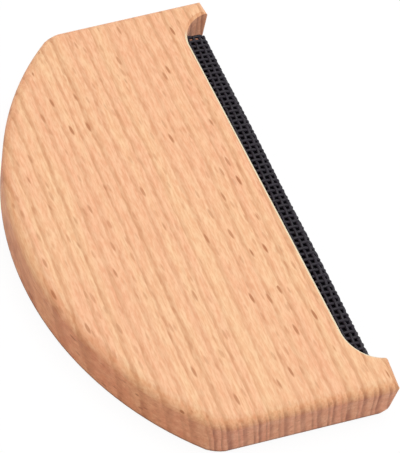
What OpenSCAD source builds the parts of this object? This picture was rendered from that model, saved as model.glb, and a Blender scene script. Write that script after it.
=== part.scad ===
// Sweater comb: a D-shaped beech handle with a folded strip of black wire cloth glued into
// a slot between two short horns. It lies flat, front face up, with the mesh towards -Y.

/* [Handle] */
// Length over the two ends, measured along the horn tips
handle_len = 105; // [98:1:130]
// Depth from the horn tips to the top of the back arc
handle_depth = 60.8; // [55:0.2:66]
// Thickness of the beech board
handle_thick = 11; // [9.5:0.5:14]
// Radius of the long back arc
back_radius = 66.5; // [62:0.5:80]
// Radius of the two corners between the ends and the back arc
corner_radius = 9.3; // [7:0.1:12]
// Lean of each end towards the back arc, in degrees
end_lean = 2.9; // [1:0.1:5]
// Roundover along the front edge of the ends and the back arc
front_round = 2.7; // [1.5:0.1:3.5]
// Rounding along the rear edge of the ends and the back arc
rear_round = 0.8; // [0.4:0.1:1.5]

/* [Horns and recess] */
// Width of the recess between the walls of its two hollows
recess_width = 93.9; // [91:0.1:94.5]
// Depth of the recess below the horn tips, halfway along its floor
recess_depth = 7.6; // [7:0.1:9]
// How far the recess and its cloth lie off the middle of the handle
recess_shift = 0.95; // [0:0.05:1.2]
// Lean of the floor of the recess, in degrees
recess_lean = 0.8; // [0:0.1:1]
// Radius of the hollow where each horn meets the floor of the recess
hollow_radius = 8.3; // [5:0.1:9]
// Lean of each horn tip away from the recess, in degrees
tip_lean = 5.5; // [0:0.5:8]
// Rounding of the upright edges on the outer side of the horns
horn_outer_round = 1; // [0.6:0.1:1.6]
// Rounding of the upright edges on the inner side of the horns
horn_inner_round = 1; // [0.6:0.1:1.4]
// Rounding across the horn tips, at their front edge
tip_front_round = 2.7; // [1:0.1:3]
// Rounding across the horn tips, at their rear edge
tip_rear_round = 4.3; // [2:0.1:5]
// Bevel on the front and rear edges of the recess
edge_bevel = 0.6; // [0.3:0.05:1]

/* [Wire cloth] */
// Length of the strip of cloth
cloth_len = 87.6; // [76:0.2:89]
// How far the fold of the cloth stands out of the floor of the recess
cloth_reach = 6.2; // [4.5:0.1:6.8]
// Thickness of a wire with its coating
wire_d = 0.75; // [0.5:0.05:0.8]
// Distance between neighbouring wires
wire_pitch = 1.4; // [1.2:0.02:2]
// Free gap where two wires cross, and between the wires and the core
wire_gap = 0.01; // [0.005:0.005:0.03]

/* [Core, slot and glue] */
// Thickness of the core strip inside the fold
core_thick = 1.1; // [0.9:0.1:1.8]
// How far each end of the core stops short of the end of the cloth
core_short = 1.2; // [0.6:0.1:2]
// Gap between the cloth and each long wall of the slot
slot_gap = 0.05; // [0.02:0.01:0.15]
// Gap between each end of the cloth and the end of the slot
slot_end_gap = 0.3; // [0.1:0.1:0.8]
// Thickness of the glue in the bottom of the slot
glue_thick = 0.6; // [0.3:0.1:1]

/* [Hidden] */
// Long wires on each side of the one that runs along the nose of the fold
SIDE_WIRES = 7;
// Pitches from the last long wire on each side to the cut edge of the cloth
CUT_PAST = 0.35;

arc_fn = 360;
round_fn = 96;
wire_fn = 24;
// A cutter's round face stands this far over the flat that it blends into, so that the two
// faces cross at a small angle
face_over = 0.03;
corner_over = 0.1;
// Cutters run this far past the board
past = 2;
// A corner cutter's wedge reaches this many corner radii along its sides, and this many times
// as far as its sides in the middle
wedge_reach = 3;
wedge_bulge = 1.5;

tip_y = -handle_depth / 2;
floor_y = tip_y + recess_depth;
mid_z = handle_thick / 2;

// The corner circle lies inside the end line and touches the back arc from within
arc_y = handle_depth / 2 - back_radius;
end_reach = cos(end_lean) * handle_len / 2 - sin(end_lean) * handle_depth / 2 - corner_radius;
end_foot = end_reach - sin(end_lean) * arc_y;
end_run = sqrt(pow(back_radius - corner_radius, 2) - pow(end_foot, 2));
corner_x = cos(end_lean) * end_foot - sin(end_lean) * end_run;
corner_y = arc_y + sin(end_lean) * end_foot + cos(end_lean) * end_run;
corner_angle = atan2(corner_y - arc_y, corner_x);

// Centre of the hollow at the foot of each horn, before the recess is shifted and leant
hollow_x = recess_width / 2 - hollow_radius;
hollow_y = floor_y - hollow_radius;
// Y of the centre of the circle that rounds the inner edge of each horn
inner_y = tip_y + horn_inner_round;

// Layers of the fold, counted outwards from the core: long wires, then hoops
core_r = core_thick / 2;
long_r = core_r + wire_gap + wire_d / 2;
hoop_r = long_r + wire_d + wire_gap;
cloth_r = (long_r + hoop_r) / 2;
fold_r = hoop_r + wire_d / 2;
nose_y = floor_y - cloth_reach + fold_r;
quarter_fold = cloth_r * PI / 2;
// Half the width of the cloth, measured round the fold from its nose to its cut edge
cloth_half = (SIDE_WIRES + CUT_PAST) * wire_pitch;
leg_len = cloth_half - quarter_fold;
leg_end_y = nose_y + leg_len;
hoop_count = floor((cloth_len - wire_d) / wire_pitch) + 1;

slot_width = 2 * (fold_r + slot_gap);
slot_len = cloth_len + 2 * slot_end_gap;
slot_end_y = leg_end_y + glue_thick;
core_len = cloth_len - 2 * core_short;

// Place of a hollow's centre on one side, -1 or 1, with X counted outwards on that side
function hollow_out(side) =
    hollow_x * cos(recess_lean) + side * (recess_shift + hollow_radius * sin(recess_lean));
function hollow_up(side) =
    floor_y + side * hollow_x * sin(recess_lean) - hollow_radius * cos(recess_lean);
// Rise and run from the hollow's centre to the circle on the horn's inner edge, which touches it
function inner_rise(side) = max(0, inner_y - hollow_up(side));
function inner_run(side) = sqrt(pow(hollow_radius + horn_inner_round, 2) - pow(inner_rise(side), 2));
function inner_at(side) = [hollow_out(side) + inner_run(side), inner_y];
// Centre of the circle that rounds the outer edge of a horn, tangent to its tip and to the end
function outer_at(side) =
    let (to_end = handle_len / 2 * cos(end_lean) + tip_y * sin(end_lean) - horn_outer_round,
         to_tip = inner_at(side).x * sin(tip_lean) - inner_y * cos(tip_lean)
                  + horn_inner_round - horn_outer_round)
    [to_end * cos(tip_lean) + to_tip * sin(end_lean),
     to_end * sin(tip_lean) - to_tip * cos(end_lean)] / cos(end_lean - tip_lean);

// What a rounding of radius r takes off a corner at the origin, with material at -X and -Y
module rounding(r) {
    translate([face_over - r, face_over - r])
        difference() {
            square(r + past);
            circle(r, $fn = round_fn);
        }
}

// Cross-section of a round board from its centre out to its rounded edge at x = reach
module edge_section(reach) {
    difference() {
        square([reach, handle_thick]);
        translate([reach, handle_thick])
            rounding(front_round);
        translate([reach, 0])
            mirror([0, 1])
                rounding(rear_round);
    }
}

module arc_blank() {
    translate([0, arc_y, 0])
        rotate_extrude($fn = arc_fn)
            edge_section(back_radius);
}

module end_planks() {
    wide = handle_len / 2 + past * tan(end_lean);
    narrow = handle_len / 2 - (handle_depth + past) * tan(end_lean);
    translate([0, 0, -past])
        linear_extrude(handle_thick + 2 * past)
            polygon([[-wide, tip_y - past], [wide, tip_y - past],
                     [narrow, past - tip_y], [-narrow, past - tip_y]]);
}

module tip_plane_cut() {
    translate([-handle_len, tip_y - handle_len, -past])
        cube([2 * handle_len, handle_len, handle_thick + 2 * past]);
}

module end_roundings() {
    translate([handle_len / 2, tip_y, 0])
        rotate([90, 0, end_lean])
            translate([0, 0, -handle_depth - past])
                linear_extrude(handle_depth + 3 * past) {
                    translate([0, handle_thick])
                        rounding(front_round);
                    mirror([0, 1])
                        rounding(rear_round);
                }
}

// Wedge of board that a cutter for a corner of radius r works on, between two directions
module corner_wedge(r, from_angle, to_angle) {
    far = wedge_reach * r;
    mid_angle = (from_angle + to_angle) / 2;
    translate([0, 0, -past])
        linear_extrude(handle_thick + 2 * past)
            polygon([[0, 0], far * [cos(from_angle), sin(from_angle)],
                     wedge_bulge * far * [cos(mid_angle), sin(mid_angle)],
                     far * [cos(to_angle), sin(to_angle)]]);
}

module back_corner_cut() {
    translate([corner_x, corner_y, 0])
        difference() {
            corner_wedge(corner_radius, end_lean, corner_angle);
            rotate_extrude($fn = arc_fn) {
                edge_section(corner_radius + corner_over);
                translate([0, -2 * past])
                    square([corner_radius - front_round, handle_thick + 4 * past]);
            }
        }
}

module upright_cut(place, r, from_angle, to_angle) {
    translate(place)
        difference() {
            corner_wedge(r, from_angle, to_angle);
            translate([0, 0, -2 * past])
                cylinder(h = handle_thick + 4 * past, r = r + face_over, $fn = round_fn);
        }
}

// Leaning tip of a horn with its front and rear roundings, past the circle on its inner edge
module leaning_tip_cut(place) {
    translate(place)
        rotate([0, 0, tip_lean])
            translate([-hollow_radius, -horn_inner_round, 0]) {
                translate([0, -handle_depth, -past])
                    cube([handle_len, handle_depth, handle_thick + 2 * past]);
                rotate([90, 0, 90])
                    linear_extrude(handle_len) {
                        translate([0, handle_thick])
                            mirror([1, 0])
                                rounding(tip_front_round);
                        mirror([1, 0])
                            mirror([0, 1])
                                rounding(tip_rear_round);
                    }
            }
}

// Outer side of the handle at one end, -1 or 1: its edges, its back corner and its horn
module end_cuts(side) {
    inner_angle = 180 + atan2(inner_rise(side), inner_run(side));
    mirror([side < 0 ? 1 : 0, 0, 0]) {
        end_roundings();
        back_corner_cut();
        upright_cut(outer_at(side), horn_outer_round, tip_lean - 90, end_lean);
        upright_cut(inner_at(side), horn_inner_round, inner_angle, tip_lean + 270);
        leaning_tip_cut(inner_at(side));
    }
}

// Puts the recess off the middle of the handle and leans it about the middle of its floor
module shift_and_lean() {
    translate([recess_shift, floor_y, 0])
        rotate([0, 0, recess_lean])
            translate([0, -floor_y, 0])
                children();
}

module recess_cut() {
    reach = hollow_radius + face_over;
    translate([0, 0, -past])
        linear_extrude(handle_thick + 2 * past) {
            for (side = [-1, 1])
                translate([side * hollow_x, hollow_y])
                    circle(reach, $fn = arc_fn);
            translate([-hollow_x, tip_y - past])
                square([2 * hollow_x, recess_depth + past]);
            translate([-recess_width / 2, min(tip_y, hollow_y) - past])
                square([recess_width, max(0, hollow_y - tip_y) + past]);
        }
}

// Bevel on the front edge of the recess: a cone in each hollow and a wedge along the floor
module recess_bevel() {
    dip = edge_bevel + face_over;
    reach = hollow_radius + face_over;
    for (side = [-1, 1])
        translate([side * hollow_x, hollow_y, handle_thick - dip])
            cylinder(h = dip + past, r1 = reach - face_over, r2 = reach + edge_bevel + past,
                     $fn = arc_fn);
    translate([-hollow_x, floor_y, handle_thick - edge_bevel])
        rotate([90, 0, 90])
            linear_extrude(2 * hollow_x)
                polygon([[-past, -past], [0, 0], [edge_bevel + past, edge_bevel + past],
                         [-past, edge_bevel + past]]);
}

module slot_cut() {
    translate([recess_shift - slot_len / 2, tip_y - past, mid_z - slot_width / 2])
        cube([slot_len, slot_end_y - tip_y + past, slot_width]);
}

// Beech handle in one piece: board, horns, recess and slot
module handle() {
    color("burlywood")
        difference() {
            intersection() {
                arc_blank();
                end_planks();
            }
            tip_plane_cut();
            for (side = [-1, 1])
                end_cuts(side);
            shift_and_lean() {
                recess_cut();
                for (face = [0, 1])
                    translate([0, 0, face * handle_thick])
                        mirror([0, 0, face])
                            recess_bevel();
            }
            slot_cut();
        }
}

// Former inside the fold of the cloth, with a round nose
module core_strip() {
    color("dimgray")
        translate([recess_shift - core_len / 2, nose_y, mid_z])
            rotate([90, 0, 90])
                linear_extrude(core_len) {
                    circle(core_r, $fn = round_fn);
                    translate([0, -core_r])
                        square([leg_len, core_thick]);
                }
}

// Glue in the bottom of the slot, under the cut edges of the cloth and the core
module glue_bed() {
    color("khaki")
        translate([recess_shift - slot_len / 2, leg_end_y, mid_z - slot_width / 2])
            cube([slot_len, glue_thick, slot_width]);
}

// One wire folded round the core: half a ring at the nose and two straight legs
module hoop() {
    rotate_extrude(angle = 180, start = 180, $fn = round_fn)
        translate([hoop_r, 0])
            circle(wire_d / 2, $fn = wire_fn);
    for (side = [-1, 1])
        translate([side * hoop_r, 0, 0])
            rotate([-90, 0, 0])
                cylinder(h = leg_len, r = wire_d / 2, $fn = wire_fn);
}

module hoop_wires() {
    color("black")
        for (i = [0:hoop_count - 1])
            translate([recess_shift + (i - (hoop_count - 1) / 2) * wire_pitch, nose_y, mid_z])
                rotate([0, -90, 0])
                    hoop();
}

// Long wire number step, counted round the fold from the nose, towards the front if positive
module long_wire(step) {
    run = abs(step) * wire_pitch;
    turn = min(run, quarter_fold) / cloth_r * 180 / PI;
    along = max(0, run - quarter_fold);
    color("black")
        translate([recess_shift - cloth_len / 2, nose_y - long_r * cos(turn) + along,
                   mid_z + sign(step) * long_r * sin(turn)])
            rotate([0, 90, 0])
                cylinder(h = cloth_len, r = wire_d / 2, $fn = wire_fn);
}

handle();
core_strip();
glue_bed();
hoop_wires();
long_wire(0);  // nose_wire
for (i = [1:SIDE_WIRES])
    long_wire(i);
for (i = [1:SIDE_WIRES])
    long_wire(-i);
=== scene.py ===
"""Sweater comb: beech grain on the handle, a woven strip of black wire cloth, a pale studio."""

import math

import bpy
import numpy as np
from bpy.props import FloatProperty, FloatVectorProperty, IntProperty, PointerProperty
from mathutils import Euler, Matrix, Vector


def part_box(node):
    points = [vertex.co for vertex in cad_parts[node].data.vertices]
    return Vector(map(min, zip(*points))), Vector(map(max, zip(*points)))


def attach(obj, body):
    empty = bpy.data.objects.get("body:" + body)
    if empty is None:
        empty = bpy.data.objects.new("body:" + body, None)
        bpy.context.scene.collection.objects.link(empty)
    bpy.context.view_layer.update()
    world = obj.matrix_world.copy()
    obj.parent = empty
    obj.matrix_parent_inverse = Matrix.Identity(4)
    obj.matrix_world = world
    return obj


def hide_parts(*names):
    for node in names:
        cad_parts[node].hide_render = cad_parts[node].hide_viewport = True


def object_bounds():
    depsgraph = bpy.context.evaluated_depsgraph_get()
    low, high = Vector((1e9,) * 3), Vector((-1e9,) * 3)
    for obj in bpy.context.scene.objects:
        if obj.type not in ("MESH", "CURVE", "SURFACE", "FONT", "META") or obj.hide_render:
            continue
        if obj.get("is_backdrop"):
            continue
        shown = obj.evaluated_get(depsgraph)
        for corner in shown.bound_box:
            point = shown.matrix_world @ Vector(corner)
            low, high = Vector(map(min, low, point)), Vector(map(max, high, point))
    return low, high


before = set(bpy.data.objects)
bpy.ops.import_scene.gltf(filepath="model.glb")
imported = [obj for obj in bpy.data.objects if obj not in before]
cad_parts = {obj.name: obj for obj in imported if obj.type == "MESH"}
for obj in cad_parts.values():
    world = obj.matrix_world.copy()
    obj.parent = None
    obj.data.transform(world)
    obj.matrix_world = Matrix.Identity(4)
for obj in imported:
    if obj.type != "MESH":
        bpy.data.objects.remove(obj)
CAD_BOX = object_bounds()

bl_info = {
    "name": "Sweater comb",
    "version": (1, 0, 0),
    "blender": (4, 5, 0),
    "location": "3D View > Sidebar > Comb",
    "description": "Finishes the beech handle of a sweater comb and weaves its wire cloth",
    "category": "Object",
}

MM = 0.001
PER_MM = 1000.0


def node_size(name):
    """Length, depth and height of a CAD node's box."""
    low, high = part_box(name)
    return high - low


def node_middle(name):
    """Middle of a CAD node's box."""
    low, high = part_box(name)
    return (low + high) / 2


SIDE_WIRES = sum(name.startswith("front_wire_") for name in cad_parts)
LAST_WIRE, NEXT_WIRE = f"front_wire_{SIDE_WIRES}", f"front_wire_{SIDE_WIRES - 1}"
WIRE_D = node_size("nose_wire").z
PITCH = node_middle(LAST_WIRE).y - node_middle(NEXT_WIRE).y
CLOTH_LEN = node_size("nose_wire").x
HOOP_COUNT = round((node_size("hoop_wires").x - WIRE_D) / PITCH) + 1
FOLD_R = node_size("hoop_wires").z / 2
NOSE_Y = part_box("hoop_wires")[0].y + FOLD_R
LEG_END_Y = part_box("hoop_wires")[1].y
MID_X, MID_Z = node_middle("nose_wire").x, node_middle("nose_wire").z
# The coating fuses the wires where they cross, so they rise and dip by little
RISE = 0.1 * MM
CLOTH_R = FOLD_R - WIRE_D / 2 - RISE
QUARTER_FOLD = CLOTH_R * math.pi / 2
CLOTH_HALF = QUARTER_FOLD + LEG_END_Y - NOSE_Y
# Wires that would be shorter than this many pitches were trimmed off the cloth
SHORTEST_WIRE = 4
STRAY_SEED = 11

# The round core fills the fold up to the wires' inner faces, less this gap
CORE_GAP = 0.03 * MM
CORE_R = CLOTH_R - RISE - WIRE_D / 2 - CORE_GAP
CORE_REAR_EASE = 0.15 * MM
CORE_END_EASE = 0.1 * MM
CORE_NOSE_STEPS = 24

# What bends the growth lines: size of each wave along the comb, across it and through it, how far
# it moves them, both in millimetres, and its detail
LINE_WAVES = (((90, 32, 60), 4.0, 1), ((16, 6, 14), 0.9, 1), ((5, 2.4, 18), 0.9, 2))
# Uneven rings: changes in each ring, and how many rings they move the lines
UNEVEN_SCALE, UNEVEN_REACH = 0.4, 0.9
# Shares of a ring at which a main and a finer line start, are darkest and start to fall
MAIN_START, FINER_START, LINE_TOP, LINE_FALL = 0.5, 0.45, 0.86, 0.9
FAINTEST_LINE = 0.6
# Finer lines in each ring, and their offset in rings of their own
FINER_COUNT, FINER_SHIFT = 2.0, 0.35
# Stretches where a line fades: their size in millimetres, range of the noise, what they keep
BREAK_SIZE, BREAK_RANGE, BREAK_KEPT = (5, 1.2, 5), (0.38, 0.62), 0.6
# Strength on the face and on the end grain
MAIN_STRENGTH, FINER_STRENGTH, FLECK_STRENGTH = (0.86, 1.15), (0.2, 0.75), (1.0, 0.4)

# Pinker bands: changes in each ring, size of the patches that shift them, range of their sum
BAND_SCALE, PATCH_SIZE, BAND_RANGE = 0.8, (30, 9, 20), (0.75, 1.25)
# The middle of a noise's values, which turns it into soft patches
PATCH_RANGE = (0.35, 0.65)
# Pinker mottle, fibres, pores and the clouds on the walls, in millimetres
MOTTLE_SIZE, FIBRE_SIZE, PORE_SIZE = (2.6, 1.0, 2.6), (3.6, 0.5, 0.5), (1.5, 0.32, 0.32)
CLOUD_SIZE = (2.8, 1.8, 1.5)
# Shares of the fibres and the pores in the fine shading, and the range of their sum
FIBRE_SHARE, PORE_SHARE, SHADE_RANGE = 0.6, 0.55, (0.42, 0.72)
# What the mottle, the dark fibres and the light fibres leave of the wood's colour
MOTTLE = (0.99, 0.93, 0.91, 1.0)
DARK_FIBRE = (0.91, 0.835, 0.79, 1.0)
LIGHT_FIBRE = (1.03, 1.08, 1.10, 1.0)
# Painted shade: what the front roundover leaves of the face's colour, a warmer tone where it
# turns from the light
RIM_SHADE_TINT = (1.0, 0.91, 0.85, 1.0)
# Dark and light clouds on the walls
DARK_CLOUD = (0.93, 0.85, 0.80, 1.0)
LIGHT_CLOUD = (1.04, 1.07, 1.06, 1.0)

# Small and large flecks: size of a cell in millimetres, radius of the fleck in cells, share of the
# cells that hold one, and strength
SMALL_FLECKS = ((4.4, 1.1, 1.1), 0.32, 0.6, 0.36)
LARGE_FLECKS = ((8.5, 2.0, 2.0), 0.20, 0.8, 0.95)
# Turn of the flecks away from the mesh edge
FLECK_TURN = math.radians(6)
# Share of a fleck's radius that is fully dark, and strength of the faintest fleck
FLECK_CORE, FAINTEST_FLECK = 0.5, 0.4

# Ranges over which the surface normal turns from one face of the handle to the next
WALL_RANGE, END_RANGE, RECESS_RANGE = (0.05, 0.58), (0.5, 0.95), (0.05, 0.4)
RIM_RANGE, BEVEL_TOP_RANGE, BEVEL_FOOT_RANGE = (0.97, 0.75), (0.93, 0.85), (0.45, 0.6)
# The painted highlight on the bevel of the recess fades out between these places along the
# handle, in millimetres
BEVEL_FADE_LOW = (-46.5, -44.0)
BEVEL_FADE_HIGH = (41.0, 45.0)
# Painted shade darkens the rear edge of the walls, where the handle meets the floor, up to this
# height, in millimetres, and leaves this share of their colour at the edge
REAR_SHADE_TOP, REAR_SHADE_KEPT = 1.25, 0.05

# Roughness of the beech and the wire over this range of their fibres and mottle
ROUGH_RANGE, BEECH_ROUGH, WIRE_ROUGH = (0.3, 0.7), (0.50, 0.62), (0.46, 0.6)
# Fibres and growth lines stand above the beech by these shares of its bump, and flecks sink in
FIBRE_HEIGHT, LINE_HEIGHT, BEECH_BUMP = 0.5, 0.6, 0.004 * MM

# Clouds, in millimetres, bump and colours of the wire's coating, the core and the glue
COATING_SIZE, COATING_RANGE, COATING_BUMP = (0.9, 0.9, 0.9), (0.35, 0.7), 0.01 * MM
COATING_BLACK, COATING_GREY = (0.010, 0.007, 0.012, 1.0), (0.020, 0.015, 0.024, 1.0)
CORE_GRAIN_SIZE, CORE_BUMP = (0.4, 0.2, 0.2), 0.01 * MM
CORE_BLACK, CORE_GREY = (0.004, 0.004, 0.005, 1.0), (0.009, 0.009, 0.01, 1.0)
GLUE_CLOUD_SIZE, GLUE_BUMP = (4, 1, 1), 0.05 * MM
GLUE_DARK, GLUE_PALE = (0.50, 0.36, 0.14, 1.0), (0.62, 0.47, 0.22, 1.0)

# Width of the camera's sensor in millimetres, and the nearest and furthest that it sees, in metres
SENSOR_WIDTH = 36.0
CLIP_NEAR, CLIP_FAR = 0.01, 20.0
KEY_PLACE, KEY_SIZE = (0.03, -0.12, 0.87), 0.55
WHITE = (1.0, 1.0, 1.0, 1.0)
FLOOR_HALF = 3.0
FLOOR_GAP = 0.02 * MM
# The floor as it lights the comb, and where it is seen: its own glow, and the thin lit coat on
# top that the comb's shadow takes away
FLOOR_GREY, FLOOR_THIN = (0.8, 0.8, 0.8, 1.0), (0.08, 0.08, 0.08, 1.0)
FLOOR_GLOW = 0.93


class CombBeechSettings(bpy.types.PropertyGroup):
    """Figure and colours of the beech."""

    ring_spacing: FloatProperty(
        name="Ring spacing", description="Mean distance between growth lines on the face",
        default=3.15 * MM, min=1 * MM, max=8 * MM, unit="LENGTH", precision=4)
    ring_lean: FloatProperty(
        name="Ring lean", description="Angle between the growth lines and the mesh edge",
        default=math.radians(-0.3), subtype="ANGLE")
    ring_tilt: FloatProperty(
        name="Ring tilt", description="Lean of the growth lines on the end walls",
        default=math.radians(10), subtype="ANGLE")
    pale: FloatVectorProperty(
        name="Pale wood", description="Wood between the growth lines",
        default=(0.985, 0.605, 0.345), subtype="COLOR", min=0, max=1)
    pink: FloatVectorProperty(
        name="Pink wood", description="Wood in the pinker bands",
        default=(0.975, 0.545, 0.322), subtype="COLOR", min=0, max=1)
    line: FloatVectorProperty(
        name="Growth line", description="Wood in the growth lines",
        default=(0.70, 0.34, 0.17), subtype="COLOR", min=0, max=1)
    fleck: FloatVectorProperty(
        name="Fleck", description="Short brown flecks along the grain",
        default=(0.47, 0.17, 0.065), subtype="COLOR", min=0, max=1)
    end_line: FloatVectorProperty(
        name="End growth line", description="Wood in the growth lines on the end walls",
        default=(0.52, 0.23, 0.125), subtype="COLOR", min=0, max=1)
    end_tint: FloatVectorProperty(
        name="End grain", description="What the end grain leaves of the face's colour",
        default=(0.94, 0.845, 0.93), subtype="COLOR", min=0, max=1)
    # Painted shade on the wall of the back arc
    arc_shade: FloatVectorProperty(
        name="Back arc", description="Painted shade: what the back arc's wall leaves of the face's colour",
        default=(0.91, 0.76, 0.70), subtype="COLOR", min=0, max=1)
    # Painted shade on the wall of the recess
    recess_shade: FloatVectorProperty(
        name="Recess wall", description="Painted shade: what the sawn recess leaves of the face's colour",
        default=(0.87, 0.77, 0.81), subtype="COLOR", min=0, max=1)
    # Painted highlight: a pale line on the bevel of the recess
    bevel: FloatVectorProperty(
        name="Bevel", description="Painted highlight on the bevel of the recess",
        default=(0.99, 0.84, 0.58), subtype="COLOR", min=0, max=1)


class CombClothSettings(bpy.types.PropertyGroup):
    """How the wire cloth was cut and laid."""

    skew: FloatProperty(
        name="Skew", description="Angle between the long wires and the fold",
        default=math.radians(2.25), subtype="ANGLE")
    hoop_lean: FloatProperty(
        name="Hoop lean", description="Lean of the hoops away from square to the fold",
        default=math.radians(5), subtype="ANGLE")
    stray: FloatProperty(
        name="Stray", description="How far a hoop strays from its even place",
        default=0.05 * MM, min=0, max=0.2 * MM, unit="LENGTH", precision=5)
    sides: IntProperty(
        name="Sides", description="Sides of a wire's cross-section", default=8, min=6, max=24)
    steps: IntProperty(
        name="Steps", description="Rings of points along one pitch of wire",
        default=6, min=4, max=16)


class CombStageSettings(bpy.types.PropertyGroup):
    """Camera and light."""

    azimuth: FloatProperty(
        name="Azimuth", description="Direction of the camera round the comb",
        default=math.radians(235.07), subtype="ANGLE")
    elevation: FloatProperty(
        name="Elevation", description="Height of the camera above the horizon",
        default=math.radians(53.22), subtype="ANGLE")
    roll: FloatProperty(
        name="Roll", description="Turn of the camera about its line of sight",
        default=math.radians(15.77), subtype="ANGLE")
    distance: FloatProperty(
        name="Distance", description="Distance from the camera to the point that it looks at",
        default=304.1 * MM, unit="LENGTH")
    lens: FloatProperty(
        name="Lens", description="Focal length of the camera, in millimetres", default=116.97)
    target: FloatVectorProperty(
        name="Target", description="Point that the camera looks at",
        default=(-3.57 * MM, -7.94 * MM, 5.5 * MM), subtype="TRANSLATION", unit="LENGTH",
        precision=5)
    key_power: FloatProperty(
        name="Key light", description="Power of the large soft light", default=4.55, min=0)
    sky: FloatProperty(
        name="Sky", description="Strength of the even light from all round", default=0.45, min=0)


def add_node(tree, kind, settings=None, inputs=None):
    """A shader node with its settings, and its inputs set or linked."""
    node = tree.nodes.new(kind)
    for name, value in (settings or {}).items():
        setattr(node, name, value)
    for name, value in (inputs or {}).items():
        if isinstance(value, bpy.types.NodeSocket):
            tree.links.new(value, node.inputs[name])
        else:
            node.inputs[name].default_value = value
    return node


def calculate(tree, operation, *values, clamp=False):
    """Result of one Math node."""
    settings = {"operation": operation, "use_clamp": clamp}
    return add_node(tree, "ShaderNodeMath", settings, dict(enumerate(values))).outputs[0]


def multiply(tree, product, *others):
    """Product of two or more numbers."""
    for value in others:
        product = calculate(tree, "MULTIPLY", product, value)
    return product


def components(tree, vector):
    """The x, y and z of a vector."""
    return add_node(tree, "ShaderNodeSeparateXYZ", {}, {0: vector}).outputs


def stretch(tree, vector, sizes):
    """The place in the part divided by a size along each axis."""
    shrink = [1 / size for size in sizes]
    settings = {"operation": "MULTIPLY"}
    return add_node(tree, "ShaderNodeVectorMath", settings, {0: vector, 1: shrink}).outputs[0]


def noise(tree, place, sizes, detail=2.0):
    """Cloudy noise, 0 to 1, whose patches have the given sizes in millimetres."""
    inputs = {"Vector": stretch(tree, place, sizes), "Scale": 1.0, "Detail": detail}
    return add_node(tree, "ShaderNodeTexNoise", {}, inputs).outputs[0]


def ring_noise(tree, rings, scale):
    """Noise, 0 to 1, that changes from ring to ring."""
    inputs = {"W": rings, "Scale": scale, "Detail": 1.0}
    return add_node(tree, "ShaderNodeTexNoise", {"noise_dimensions": "1D"}, inputs).outputs[0]


def remap(tree, value, low, high, to_low=0.0, to_high=1.0, curve="SMOOTHSTEP"):
    """Value moved from one range to another, held at the ends."""
    inputs = {"Value": value, "From Min": low, "From Max": high,
              "To Min": to_low, "To Max": to_high}
    return add_node(tree, "ShaderNodeMapRange", {"interpolation_type": curve}, inputs).outputs[0]


def blend(tree, factor, first, second):
    """A number that goes evenly from the first to the second as the factor goes from 0 to 1."""
    return remap(tree, factor, 0.0, 1.0, first, second, "LINEAR")


def mix_colours(tree, factor, first, second, kind="MIX"):
    """Two colours mixed by a factor."""
    node = add_node(tree, "ShaderNodeMix", {"data_type": "RGBA", "blend_type": kind})
    for number, value in ((0, factor), (6, first), (7, second)):
        socket = node.inputs[number]
        if isinstance(value, bpy.types.NodeSocket):
            tree.links.new(value, socket)
        else:
            socket.default_value = value
    return node.outputs[2]


def tinted(tree, colour, tint):
    """A colour times a tint."""
    return mix_colours(tree, 1.0, colour, tint, "MULTIPLY")


def tinted_where(tree, factor, colour, tint):
    """A colour that a tint covers by a factor."""
    return mix_colours(tree, factor, colour, tinted(tree, colour, tint))


def opaque(colour):
    """A colour with its alpha."""
    return (*colour, 1.0)


def empty_tree(owner):
    """The node tree of a material or a world, without nodes."""
    owner.use_nodes = True
    owner.node_tree.nodes.clear()
    return owner.node_tree


def empty_material(name):
    """A material and its empty node tree."""
    material = bpy.data.materials.new(name)
    return material, empty_tree(material)


def place_in_part(tree):
    """The place in the part, in millimetres."""
    place = add_node(tree, "ShaderNodeTexCoord").outputs["Object"]
    settings, inputs = {"operation": "SCALE"}, {0: place, "Scale": PER_MM}
    return add_node(tree, "ShaderNodeVectorMath", settings, inputs).outputs[0]


def finish_surface(tree, inputs, height, depth):
    """Principled shader with its inputs and a bump of the given depth."""
    bump = add_node(tree, "ShaderNodeBump", {},
                    {"Height": height, "Distance": depth, "Strength": 1.0})
    shader = add_node(tree, "ShaderNodeBsdfPrincipled", {},
                      {**inputs, "Normal": bump.outputs[0]})
    add_node(tree, "ShaderNodeOutputMaterial", {}, {"Surface": shader.outputs[0]})


def ring_lines(tree, rings, start):
    """One line in each ring, 0 to 1: a slow rise, a quick fall and a strength of its own."""
    share = calculate(tree, "FRACT", rings)
    rise = remap(tree, share, start, LINE_TOP)
    fall = remap(tree, share, LINE_FALL, 1.0, 1.0, 0.0)
    own = add_node(tree, "ShaderNodeTexWhiteNoise", {"noise_dimensions": "1D"},
                   {"W": calculate(tree, "FLOOR", rings)}).outputs[0]
    return multiply(tree, rise, fall, blend(tree, own, FAINTEST_LINE, 1.0))


def growth_lines(tree, place, wood):
    """Strength of the main and the finer growth lines, 0 to 1, and the place across in rings."""
    x, y, z = components(tree, place)
    across = calculate(tree, "MULTIPLY_ADD", x, math.tan(wood.ring_lean), y)
    across = calculate(tree, "MULTIPLY_ADD", z, -math.tan(wood.ring_tilt), across)
    for sizes, reach, detail in LINE_WAVES:
        wave = noise(tree, place, sizes, detail)
        across = calculate(tree, "MULTIPLY_ADD", wave, reach, across)
    rings = calculate(tree, "DIVIDE", across, wood.ring_spacing * PER_MM)
    uneven = ring_noise(tree, rings, UNEVEN_SCALE)
    rings = calculate(tree, "MULTIPLY_ADD", uneven, UNEVEN_REACH, rings)
    broken = remap(tree, noise(tree, place, BREAK_SIZE), *BREAK_RANGE, BREAK_KEPT, 1.0)
    main = ring_lines(tree, rings, MAIN_START)
    finer_rings = calculate(tree, "MULTIPLY_ADD", rings, FINER_COUNT, FINER_SHIFT)
    finer = ring_lines(tree, finer_rings, FINER_START)
    return multiply(tree, main, broken), multiply(tree, finer, broken), rings


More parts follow.
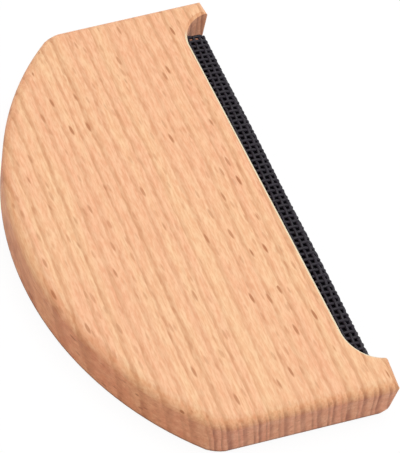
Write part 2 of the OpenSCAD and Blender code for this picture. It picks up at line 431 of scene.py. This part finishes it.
def flecks(tree, place, kind):
    """Short flecks of one kind along the grain: one in each cell that holds one."""
    sizes, radius, kept, strength = kind
    turned = add_node(tree, "ShaderNodeVectorRotate", {"rotation_type": "Z_AXIS"},
                      {"Vector": place, "Angle": -FLECK_TURN}).outputs[0]
    cell = add_node(tree, "ShaderNodeTexVoronoi", {},
                    {"Vector": stretch(tree, turned, sizes), "Scale": 1.0, "Randomness": 1.0})
    spot = remap(tree, cell.outputs["Distance"], radius * FLECK_CORE, radius, 1.0, 0.0)
    chance = add_node(tree, "ShaderNodeSeparateColor", {}, {0: cell.outputs["Color"]}).outputs[0]
    own = remap(tree, chance, 1 - kept, 1.0, FAINTEST_FLECK, 1.0, "LINEAR")
    there = calculate(tree, "GREATER_THAN", chance, 1 - kept)
    return multiply(tree, spot, own, there, strength)


def beech_faces(tree, place):
    """Where the wall, the end grain, the recess, its bevel and the roundover are, each 0 to 1, and
    what the painted shade along the rear edge leaves of its colour."""
    along, _, up = components(tree, place)
    normal = add_node(tree, "ShaderNodeTexCoord").outputs["Normal"]
    endwards, backwards, frontwards = components(tree, normal)
    level = calculate(tree, "ABSOLUTE", frontwards)
    wall = remap(tree, level, *WALL_RANGE, 1.0, 0.0)
    end = remap(tree, calculate(tree, "ABSOLUTE", endwards), *END_RANGE)
    outwards = multiply(tree, calculate(tree, "SIGN", along), endwards)
    inwards = calculate(tree, "SUBTRACT", multiply(tree, backwards, -1), outwards)
    recess = remap(tree, inwards, *RECESS_RANGE)
    # Where the painted highlight lies on the bevel of the recess
    bevel = multiply(tree, remap(tree, level, *BEVEL_TOP_RANGE),
                     remap(tree, level, *BEVEL_FOOT_RANGE), recess,
                     remap(tree, along, *BEVEL_FADE_LOW),
                     remap(tree, along, *BEVEL_FADE_HIGH, 1.0, 0.0))
    # Where the front roundover takes its painted shade
    rim_shade = remap(tree, level, *RIM_RANGE)
    # Painted shade towards the rear edge, where the handle meets the floor
    rear = remap(tree, up, 0.0, REAR_SHADE_TOP, REAR_SHADE_KEPT, 1.0, "LINEAR")
    return wall, end, recess, bevel, rim_shade, rear


def plain_wood(tree, place, rings, wood):
    """Wood between the growth lines: pale, with pinker bands and mottle."""
    patch = noise(tree, place, PATCH_SIZE)
    band = calculate(tree, "ADD", ring_noise(tree, rings, BAND_SCALE), patch)
    colour = mix_colours(tree, remap(tree, band, *BAND_RANGE), opaque(wood.pale),
                         opaque(wood.pink))
    mottle = remap(tree, noise(tree, place, MOTTLE_SIZE), *PATCH_RANGE)
    return tinted_where(tree, mottle, colour, MOTTLE)


def fibre_shade(tree, place, fibre):
    """What the fibres and the pores leave of the wood's colour."""
    share = multiply(tree, fibre, FIBRE_SHARE)
    mixed = calculate(tree, "MULTIPLY_ADD", noise(tree, place, PORE_SIZE), PORE_SHARE, share)
    return mix_colours(tree, remap(tree, mixed, *SHADE_RANGE), DARK_FIBRE, LIGHT_FIBRE)


def wall_shade_and_grain(tree, place, end, recess, wood):
    """What the walls leave of the face's colour: painted shade on the back arc and in the recess,
    and the end grain.
    """
    tint = mix_colours(tree, end, opaque(wood.arc_shade), opaque(wood.end_tint))
    tint = mix_colours(tree, recess, tint, opaque(wood.recess_shade))
    cloud = remap(tree, noise(tree, place, CLOUD_SIZE), *PATCH_RANGE)
    return tinted(tree, tint, mix_colours(tree, cloud, DARK_CLOUD, LIGHT_CLOUD))


def beech_material(wood):
    """Oiled beech: growth lines, pink bands, fibres, flecks and a darker end grain, with painted
    shade on the back arc, the recess, the roundover and the rear edge, and a painted highlight on
    the bevel.
    """
    material, tree = empty_material("beech")
    place = place_in_part(tree)
    wall, end, recess, bevel, rim_shade, rear = beech_faces(tree, place)
    main, finer, rings = growth_lines(tree, place, wood)
    finer = multiply(tree, finer, blend(tree, end, *FINER_STRENGTH))
    line = calculate(tree, "MAXIMUM", main, finer)
    strength = calculate(tree, "MULTIPLY", line, blend(tree, end, *MAIN_STRENGTH), clamp=True)
    line_colour = mix_colours(tree, end, opaque(wood.line), opaque(wood.end_line))
    colour = mix_colours(tree, strength, plain_wood(tree, place, rings, wood), line_colour)
    fibre = noise(tree, place, FIBRE_SIZE, detail=3)
    colour = tinted(tree, colour, fibre_shade(tree, place, fibre))
    small, large = flecks(tree, place, SMALL_FLECKS), flecks(tree, place, LARGE_FLECKS)
    fleck = multiply(tree, calculate(tree, "MAXIMUM", small, large),
                     blend(tree, end, *FLECK_STRENGTH))
    colour = mix_colours(tree, fleck, colour, opaque(wood.fleck))
    # Painted shade on the front roundover
    colour = tinted_where(tree, rim_shade, colour, RIM_SHADE_TINT)
    # Painted shade on the back arc and recess walls, with the end grain's own tint and clouds
    colour = tinted_where(tree, wall, colour, wall_shade_and_grain(tree, place, end, recess, wood))
    # Painted highlight on the bevel of the recess
    colour = mix_colours(tree, bevel, colour, opaque(wood.bevel))
    # Painted shade towards the rear edge, where the handle meets the floor
    colour = tinted(tree, colour, rear)
    rough = remap(tree, fibre, *ROUGH_RANGE, *BEECH_ROUGH, "LINEAR")
    height = calculate(tree, "SUBTRACT", multiply(tree, fibre, FIBRE_HEIGHT), fleck)
    height = calculate(tree, "MULTIPLY_ADD", line, LINE_HEIGHT, height)
    finish_surface(tree, {"Base Color": colour, "Roughness": rough, "IOR": 1.45,
                          "Specular IOR Level": 0.35}, height, BEECH_BUMP)
    return material


def coated_wire_material():
    """Black satin coating on steel wire, thinner and greyer in places."""
    material, tree = empty_material("coated_wire")
    mottle = noise(tree, place_in_part(tree), COATING_SIZE, detail=3)
    colour = mix_colours(tree, remap(tree, mottle, *COATING_RANGE), COATING_BLACK, COATING_GREY)
    rough = remap(tree, mottle, *ROUGH_RANGE, *WIRE_ROUGH)
    finish_surface(tree, {"Base Color": colour, "Roughness": rough, "IOR": 1.5,
                          "Specular IOR Level": 0.32}, mottle, COATING_BUMP)
    return material


def core_material():
    """Matt black strip inside the fold."""
    material, tree = empty_material("core_plastic")
    grain = noise(tree, place_in_part(tree), CORE_GRAIN_SIZE)
    colour = mix_colours(tree, grain, CORE_BLACK, CORE_GREY)
    finish_surface(tree, {"Base Color": colour, "Roughness": 0.85, "IOR": 1.45,
                          "Specular IOR Level": 0.15}, grain, CORE_BUMP)
    return material


def glue_material():
    """Cured amber glue."""
    material, tree = empty_material("glue")
    cloud = noise(tree, place_in_part(tree), GLUE_CLOUD_SIZE)
    colour = mix_colours(tree, cloud, GLUE_DARK, GLUE_PALE)
    finish_surface(tree, {"Base Color": colour, "Roughness": 0.3, "IOR": 1.5}, cloud, GLUE_BUMP)
    return material


def on_fold(x, round_fold, outwards):
    """Points on the folded cloth and the directions out of it.

    round_fold is measured from the nose, towards the front if positive, and outwards from
    the middle of the cloth's thickness."""
    side = np.sign(round_fold)
    turn = np.minimum(np.abs(round_fold), QUARTER_FOLD) / CLOTH_R
    along = np.maximum(np.abs(round_fold) - QUARTER_FOLD, 0)
    out = np.stack([np.zeros_like(turn), -np.cos(turn), side * np.sin(turn)], axis=1)
    foot = np.stack([x, NOSE_Y + along, np.full_like(turn, MID_Z)], axis=1)
    return foot + out * (CLOTH_R + outwards)[:, None], out


def tube_faces(rows, around):
    """Faces round rows of points, with an end face on the first and the last row."""
    faces = [list(range(around))]
    for row in range(rows - 1):
        for k in range(around):
            here, beside = row * around + k, row * around + (k + 1) % around
            faces.append([here, here + around, beside + around, beside])
    faces.append([(rows - 1) * around + k for k in reversed(range(around))])
    return faces


def wire_tube(points, outs, sides):
    """Vertices and faces of a round wire along points, with flat ends."""
    tangent = np.gradient(points, axis=0)
    tangent /= np.linalg.norm(tangent, axis=1)[:, None]
    sideways = np.cross(tangent, outs)
    sideways /= np.linalg.norm(sideways, axis=1)[:, None]
    upwards = np.cross(sideways, tangent)
    angle = np.arange(sides) * 2 * math.pi / sides
    ring = (np.cos(angle)[None, :, None] * upwards[:, None, :]
            + np.sin(angle)[None, :, None] * sideways[:, None, :])
    verts = (points[:, None, :] + ring * WIRE_D / 2).reshape(-1, 3)
    return verts, tube_faces(len(points), sides)


def wires_object(name, tubes, material, nodes):
    """One piece made of wires, in place of the CAD nodes that it stands for."""
    verts, faces, start = [], [], 0
    for own_verts, own_faces in tubes:
        verts.append(own_verts)
        faces += [[start + v for v in face] for face in own_faces]
        start += len(own_verts)
    mesh = bpy.data.meshes.new(name)
    mesh.from_pydata(np.concatenate(verts).tolist(), [], faces)
    # Only the cut ends of the wires, which have more than four corners, stay flat
    mesh.polygons.foreach_set("use_smooth", [len(face) == 4 for face in faces])
    mesh.materials.append(material)
    mesh.update()
    piece = bpy.data.objects.new(name, mesh)
    bpy.context.scene.collection.objects.link(piece)
    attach(piece, "root")
    if nodes:
        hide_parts(*nodes)


def hoop_lines(cloth):
    """Middle line of each hoop, woven over and under the long wires."""
    count = round(2 * CLOTH_HALF / PITCH * cloth.steps) + 1
    round_fold = np.linspace(-CLOTH_HALF, CLOTH_HALF, count)
    stray = np.random.default_rng(STRAY_SEED).uniform(-1, 1, HOOP_COUNT) * cloth.stray
    for k in range(HOOP_COUNT):
        number = k - (HOOP_COUNT - 1) // 2
        x = number * PITCH + stray[k] + math.tan(cloth.hoop_lean) * round_fold
        wave = (round_fold + math.tan(cloth.skew) * x) / PITCH - number
        yield on_fold(MID_X + x, round_fold, RISE * np.cos(math.pi * wave))


def long_line(number, cloth):
    """Middle line of one long wire, woven under and over the hoops, cut at the strip's edges."""
    count = round(CLOTH_LEN / PITCH * cloth.steps) + 1
    x = np.linspace(-CLOTH_LEN / 2, CLOTH_LEN / 2, count)
    round_fold = number * PITCH - math.tan(cloth.skew) * x
    inside = np.abs(round_fold) < CLOTH_HALF - WIRE_D / 2
    x, round_fold = x[inside], round_fold[inside]
    wave = (x - math.tan(cloth.hoop_lean) * round_fold) / PITCH - number
    return on_fold(MID_X + x, round_fold, -RISE * np.cos(math.pi * wave))


def core_profile():
    """Outline of the core across the fold: a round nose, flat sides and eased rear edges."""
    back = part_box("core_strip")[1].y
    angles = [math.pi * (0.5 - k / CORE_NOSE_STEPS) for k in range(CORE_NOSE_STEPS + 1)]
    nose = [(NOSE_Y - CORE_R * math.cos(a), MID_Z + CORE_R * math.sin(a)) for a in angles]
    eased_y, eased_r = back - CORE_REAR_EASE, CORE_R - CORE_REAR_EASE
    return nose + [(eased_y, MID_Z - CORE_R), (back, MID_Z - eased_r),
                   (back, MID_Z + eased_r), (eased_y, MID_Z + CORE_R)]


def core_mesh():
    """The core as a strip along the fold, with its end edges eased."""
    low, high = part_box("core_strip")
    profile = core_profile()
    middle_y = sum(y for y, _ in profile) / len(profile)
    rows = [(low.x, CORE_END_EASE), (low.x + CORE_END_EASE, 0),
            (high.x - CORE_END_EASE, 0), (high.x, CORE_END_EASE)]
    verts = []
    for x, drawn_in in rows:
        for y, z in profile:
            inwards = Vector((0, middle_y - y, MID_Z - z)).normalized() * drawn_in
            verts.append(Vector((x, y, z)) + inwards)
    mesh = bpy.data.meshes.new("fold_core")
    mesh.from_pydata(verts, [], tube_faces(len(rows), len(profile)))
    mesh.update()
    return mesh


def stood_for(number):
    """CAD node that the long wire of that number stands for, if there is one."""
    if number == 0:
        return ["nose_wire"]
    if abs(number) > SIDE_WIRES:
        return []
    return [f"{'front' if number > 0 else 'rear'}_wire_{abs(number)}"]


def camera_turn(stage):
    """Direction from the target back to the camera, and the camera's turn."""
    back = Vector((math.sin(stage.azimuth) * math.cos(stage.elevation),
                   -math.cos(stage.azimuth) * math.cos(stage.elevation),
                   math.sin(stage.elevation)))
    upright = (-back).to_track_quat("-Z", "Y")
    return back, upright @ Euler((0, 0, stage.roll)).to_quaternion()


def add_camera(stage):
    """The camera at the photograph's angle."""
    data = bpy.data.cameras.new("camera")
    data.lens, data.sensor_width = stage.lens, SENSOR_WIDTH
    data.clip_start, data.clip_end = CLIP_NEAR, CLIP_FAR
    camera = bpy.data.objects.new("camera", data)
    bpy.context.scene.collection.objects.link(camera)
    back, turn = camera_turn(stage)
    camera.rotation_mode = "QUATERNION"
    camera.rotation_quaternion = turn
    camera.location = Vector(stage.target) + back * stage.distance
    bpy.context.scene.camera = camera


def add_key_light(power):
    """The large soft light, which faces the comb."""
    data = bpy.data.lights.new("key_light", "AREA")
    data.shape, data.size, data.energy = "SQUARE", KEY_SIZE, power
    light = bpy.data.objects.new("key_light", data)
    light.location = KEY_PLACE
    light.rotation_mode = "QUATERNION"
    light.rotation_quaternion = (-Vector(KEY_PLACE)).to_track_quat("-Z", "Y")
    bpy.context.scene.collection.objects.link(light)


def seen_directly(tree):
    """1 for rays from the camera, reflections and glass, 0 for light that falls on surfaces."""
    path = add_node(tree, "ShaderNodeLightPath")
    seen = calculate(tree, "MAXIMUM", path.outputs["Is Camera Ray"], path.outputs["Is Glossy Ray"])
    return calculate(tree, "MAXIMUM", seen, path.outputs["Is Transmission Ray"])


def set_sky(strength):
    """Even light all round, white where it is seen."""
    world = bpy.data.worlds.new("studio")
    tree = empty_tree(world)
    level = blend(tree, seen_directly(tree), strength, 1.0)
    sky = add_node(tree, "ShaderNodeBackground", {}, {"Color": WHITE, "Strength": level})
    add_node(tree, "ShaderNodeOutputWorld", {}, {"Surface": sky.outputs[0]})
    bpy.context.scene.world = world


def floor_material():
    """Pale floor that renders white and keeps a soft shadow."""
    material, tree = empty_material("floor")
    diffuse = add_node(tree, "ShaderNodeBsdfDiffuse", {}, {"Color": FLOOR_GREY})
    thin = add_node(tree, "ShaderNodeBsdfDiffuse", {}, {"Color": FLOOR_THIN})
    glow = add_node(tree, "ShaderNodeEmission", {}, {"Color": WHITE, "Strength": FLOOR_GLOW})
    both = add_node(tree, "ShaderNodeAddShader", {}, {0: thin.outputs[0], 1: glow.outputs[0]})
    shader = add_node(tree, "ShaderNodeMixShader", {},
                      {0: seen_directly(tree), 1: diffuse.outputs[0], 2: both.outputs[0]})
    add_node(tree, "ShaderNodeOutputMaterial", {}, {"Surface": shader.outputs[0]})
    return material


def add_floor():
    """Wide flat floor under the comb."""
    level = CAD_BOX[0].z - FLOOR_GAP
    corners = [(x * FLOOR_HALF, y * FLOOR_HALF, level)
               for x, y in ((-1, -1), (1, -1), (1, 1), (-1, 1))]
    mesh = bpy.data.meshes.new("floor")
    mesh.from_pydata(corners, [], [(0, 1, 2, 3)])
    mesh.materials.append(floor_material())
    floor = bpy.data.objects.new("floor", mesh)
    bpy.context.scene.collection.objects.link(floor)
    floor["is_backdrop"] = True


def dress_node(name, material):
    """Gives a CAD node its finish."""
    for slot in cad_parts[name].material_slots:
        slot.material = material


class COMB_OT_finish_handle(bpy.types.Operator):
    """Gives the beech handle its grain"""

    bl_idname = "comb.finish_handle"
    bl_label = "Finish handle"

    def execute(self, context):
        dress_node("handle", beech_material(context.scene.comb_beech))
        return {"FINISHED"}


class COMB_OT_weave_cloth(bpy.types.Operator):
    """Weaves the hoops and the long wires of the folded cloth"""

    bl_idname = "comb.weave_cloth"
    bl_label = "Weave wire cloth"

    def execute(self, context):
        cloth = context.scene.comb_cloth
        material = coated_wire_material()
        hoops = [wire_tube(*line, cloth.sides) for line in hoop_lines(cloth)]
        wires_object("woven_hoops", hoops, material, ["hoop_wires"])
        # The skew brings more wires onto the strip at its cut edges than the CAD has
        extra = math.ceil(math.tan(cloth.skew) * CLOTH_LEN / 2 / PITCH)
        for number in range(-SIDE_WIRES - extra, SIDE_WIRES + extra + 1):
            points, outs = long_line(number, cloth)
            if len(points) < SHORTEST_WIRE * cloth.steps:
                continue
            nodes = stood_for(number)
            side = "front" if number > 0 else "rear"
            name = f"woven_{nodes[0]}" if nodes else f"woven_{side}_edge_wire_{abs(number)}"
            tube = wire_tube(points, outs, cloth.sides)
            wires_object(name, [tube], material, nodes)
        return {"FINISHED"}


class COMB_OT_add_core(bpy.types.Operator):
    """Adds the round core inside the fold and finishes the glue"""

    bl_idname = "comb.add_core"
    bl_label = "Add core and glue"

    def execute(self, context):
        core = bpy.data.objects.new("fold_core", core_mesh())
        core.data.materials.append(core_material())
        context.scene.collection.objects.link(core)
        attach(core, "root")
        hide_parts("core_strip")
        dress_node("glue_bed", glue_material())
        return {"FINISHED"}


class COMB_OT_set_stage(bpy.types.Operator):
    """Adds the camera, the light, the sky and the floor"""

    bl_idname = "comb.set_stage"
    bl_label = "Set stage"

    def execute(self, context):
        stage = context.scene.comb_stage
        add_camera(stage)
        add_key_light(stage.key_power)
        set_sky(stage.sky)
        add_floor()
        context.scene.view_settings.view_transform = "Standard"
        return {"FINISHED"}


class COMB_PT_build(bpy.types.Panel):
    """Buttons that build the comb in order"""

    bl_idname = "COMB_PT_build"
    bl_label = "Sweater comb"
    bl_space_type = "VIEW_3D"
    bl_region_type = "UI"
    bl_category = "Comb"

    def draw(self, context):
        for step in STEPS:
            self.layout.operator(step.bl_idname)


STEPS = (COMB_OT_set_stage, COMB_OT_finish_handle, COMB_OT_weave_cloth, COMB_OT_add_core)
SETTINGS = {"comb_beech": CombBeechSettings, "comb_cloth": CombClothSettings,
            "comb_stage": CombStageSettings}
CLASSES = (*SETTINGS.values(), *STEPS, COMB_PT_build)


def register():
    """Registers the classes and gives the scene their settings."""
    for cls in CLASSES:
        bpy.utils.register_class(cls)
    for name, cls in SETTINGS.items():
        setattr(bpy.types.Scene, name, PointerProperty(type=cls))


def unregister():
    """Takes the settings and the classes away again."""
    for name in SETTINGS:
        delattr(bpy.types.Scene, name)
    for cls in reversed(CLASSES):
        bpy.utils.unregister_class(cls)


def main():
    register()
    bpy.ops.comb.set_stage()
    bpy.ops.comb.finish_handle()
    bpy.ops.comb.weave_cloth()
    bpy.ops.comb.add_core()
    boxes = {"cad": CAD_BOX, "visual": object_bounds()}
    {name: [list(low), list(high)] for name, (low, high) in boxes.items()}


if __name__ == "__main__":
    main()
